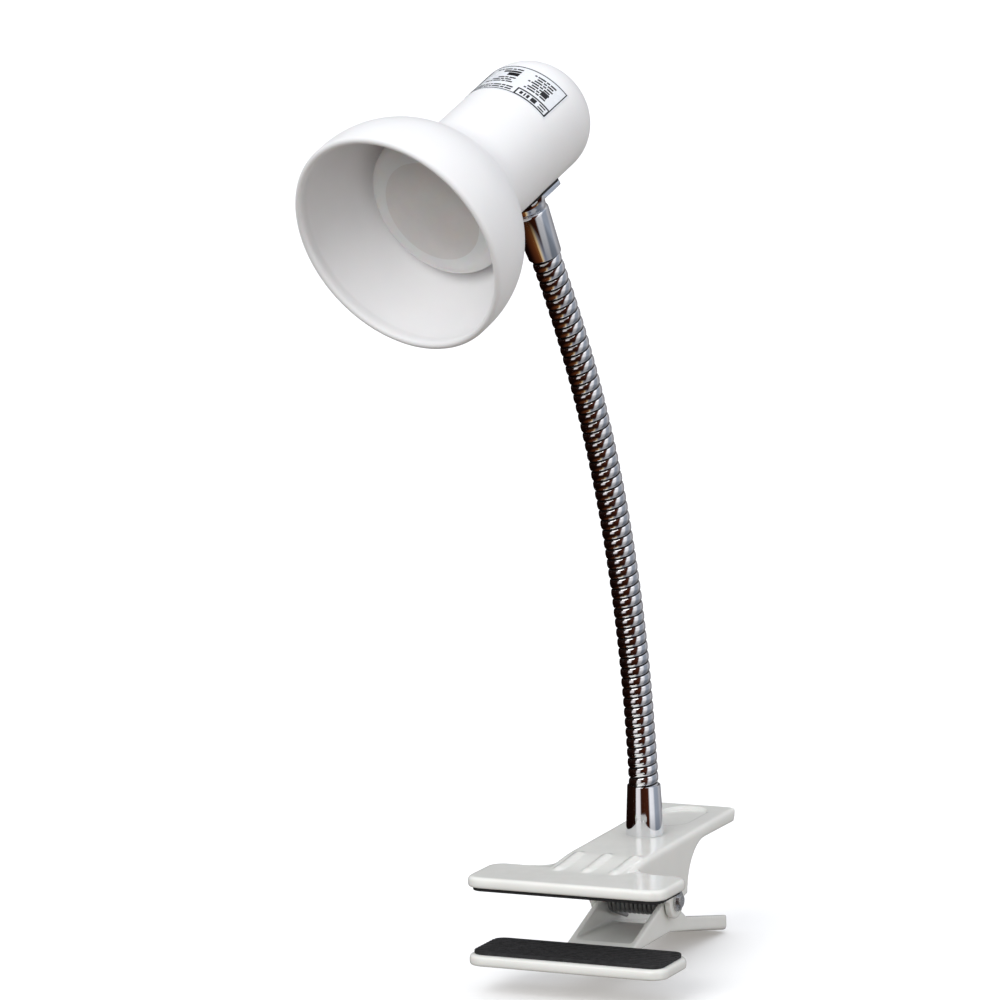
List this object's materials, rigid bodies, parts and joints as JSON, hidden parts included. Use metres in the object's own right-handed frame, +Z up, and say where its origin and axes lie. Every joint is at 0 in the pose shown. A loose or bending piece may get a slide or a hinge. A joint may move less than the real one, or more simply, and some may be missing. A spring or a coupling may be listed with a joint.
{
  "type": "clip-on reading lamp",
  "caption": "Clip-on reading lamp with a sprung clamp, a bendable chrome gooseneck and a white bell shade on a friction swivel.",
  "frame": {"origin": "centre of the upper pad's bearing face, which rests on the desk", "axes": "+X across the clamp, +Y from the jaws to the handles, +Z up along the neck"},
  "size_m": [0.1054, 0.1778, 0.3028],
  "materials": {
    "ivory_plastic": "glossy moulded plastic, warm ivory grey",
    "pad_rubber": "matt black rubber",
    "pin_steel": "bright steel",
    "spring_steel": "drawn spring steel",
    "chrome_sleeve": "polished chrome plate",
    "chrome_neck": "polished chrome coil",
    "brass_nipple": "turned brass",
    "zinc_steel": "zinc-plated steel",
    "black_rubber": "black rubber",
    "white_shade": "satin white",
    "label_film": "printed film with plain bars",
    "socket_moulding": "heat-resistant moulding",
    "brass_shell": "pressed brass",
    "frosted_glass": "frosted glass",
    "cap_metal": "rolled aluminium",
    "black_insulator": "black insulator with a contact"
  },
  "bodies": {
    "clamp": {"upper_jaw": "ivory_plastic", "upper_pad": "pad_rubber", "pivot_pin": "pin_steel", "pivot_clip": "pin_steel", "clamp_spring": "spring_steel", "base_sleeve": "chrome_sleeve", "base_nipple": "brass_nipple", "base_washer": "zinc_steel", "base_nut": "zinc_steel", "lead_bush": "black_rubber", "neck_link_1": "chrome_neck"},
    "lower_clamp": {"lower_jaw": "ivory_plastic", "lower_pad": "pad_rubber", "spring_leg": "spring_steel"},
    "neck_2": {"neck_link_2": "chrome_neck"},
    "neck_3": {"neck_link_3": "chrome_neck"},
    "neck_4": {"neck_link_4": "chrome_neck"},
    "neck_5": {"neck_link_5": "chrome_neck"},
    "neck_6": {"neck_link_6": "chrome_neck"},
    "neck_7": {"neck_link_7": "chrome_neck"},
    "neck_8": {"neck_link_8": "chrome_neck"},
    "neck_9": {"neck_link_9": "chrome_neck"},
    "neck_end": {"neck_link_10": "chrome_neck", "top_sleeve": "chrome_sleeve", "swivel_washer": "zinc_steel"},
    "head": {"swivel_nipple": "brass_nipple", "saddle": "chrome_sleeve", "saddle_gasket": "black_rubber", "head_washer": "zinc_steel", "head_nut": "zinc_steel", "shade": "white_shade", "rating_label": "label_film", "socket_bracket": "zinc_steel", "bracket_screws": "zinc_steel", "socket_body": "socket_moulding", "socket_shell": "brass_shell", "socket_contact": "brass_shell", "bulb_glass": "frosted_glass", "bulb_cap": "cap_metal", "bulb_contact": "black_insulator"}
  },
  "joints": [
    {"name": "clamp_open", "type": "hinge", "parent": "clamp", "child": "lower_clamp", "pos_m": [0, 0.0498, -0.0128], "axis": [1, 0, 0], "range_deg": [-18, 25], "stiffness_Nm_per_rad": 1},
    {"name": "neck_forward_1", "type": "hinge", "parent": "clamp", "child": "neck_2", "pos_m": [-0.00032, 0.05589, 0.04288], "axis": [1, 0, 0], "range_deg": [-20, 20]},
    {"name": "neck_side_1", "type": "hinge", "parent": "neck_2", "child": "neck_3", "pos_m": [-0.00082, 0.05398, 0.06153], "axis": [0, 0.9933, 0.1155], "range_deg": [-24, 24]},
    {"name": "neck_forward_2", "type": "hinge", "parent": "neck_3", "child": "neck_4", "pos_m": [-0.00154, 0.05154, 0.08011], "axis": [1, 0, 0], "range_deg": [-20, 20]},
    {"name": "neck_side_2", "type": "hinge", "parent": "neck_4", "child": "neck_5", "pos_m": [-0.0025, 0.04851, 0.09859], "axis": [0, 0.9839, 0.1785], "range_deg": [-24, 24]},
    {"name": "neck_forward_3", "type": "hinge", "parent": "neck_5", "child": "neck_6", "pos_m": [-0.00373, 0.04485, 0.11693], "axis": [1, 0, 0], "range_deg": [-20, 20]},
    {"name": "neck_side_3", "type": "hinge", "parent": "neck_6", "child": "neck_7", "pos_m": [-0.00524, 0.04053, 0.13512], "axis": [0, 0.9684, 0.2494], "range_deg": [-24, 24]},
    {"name": "neck_forward_4", "type": "hinge", "parent": "neck_7", "child": "neck_8", "pos_m": [-0.00703, 0.03553, 0.1531], "axis": [1, 0, 0], "range_deg": [-20, 20]},
    {"name": "neck_side_4", "type": "hinge", "parent": "neck_8", "child": "neck_9", "pos_m": [-0.00911, 0.02985, 0.17085], "axis": [0, 0.9462, 0.3234], "range_deg": [-24, 24]},
    {"name": "neck_forward_5", "type": "hinge", "parent": "neck_9", "child": "neck_end", "pos_m": [-0.01147, 0.02349, 0.18833], "axis": [1, 0, 0], "range_deg": [-20, 20]},
    {"name": "head_swivel", "type": "hinge", "parent": "neck_end", "child": "head", "pos_m": [-0.01664, 0.00978, 0.22093], "axis": [-0.1486, -0.3927, 0.9076], "range_deg": [-90, 90]}
  ],
  "couplings": [
    {"joint": "neck_forward_2", "follows": "neck_forward_1", "ratio": 1},
    {"joint": "neck_side_2", "follows": "neck_side_1", "ratio": 1},
    {"joint": "neck_forward_3", "follows": "neck_forward_1", "ratio": 1},
    {"joint": "neck_side_3", "follows": "neck_side_1", "ratio": 1},
    {"joint": "neck_forward_4", "follows": "neck_forward_1", "ratio": 1},
    {"joint": "neck_side_4", "follows": "neck_side_1", "ratio": 1},
    {"joint": "neck_forward_5", "follows": "neck_forward_1", "ratio": 1}
  ]
}
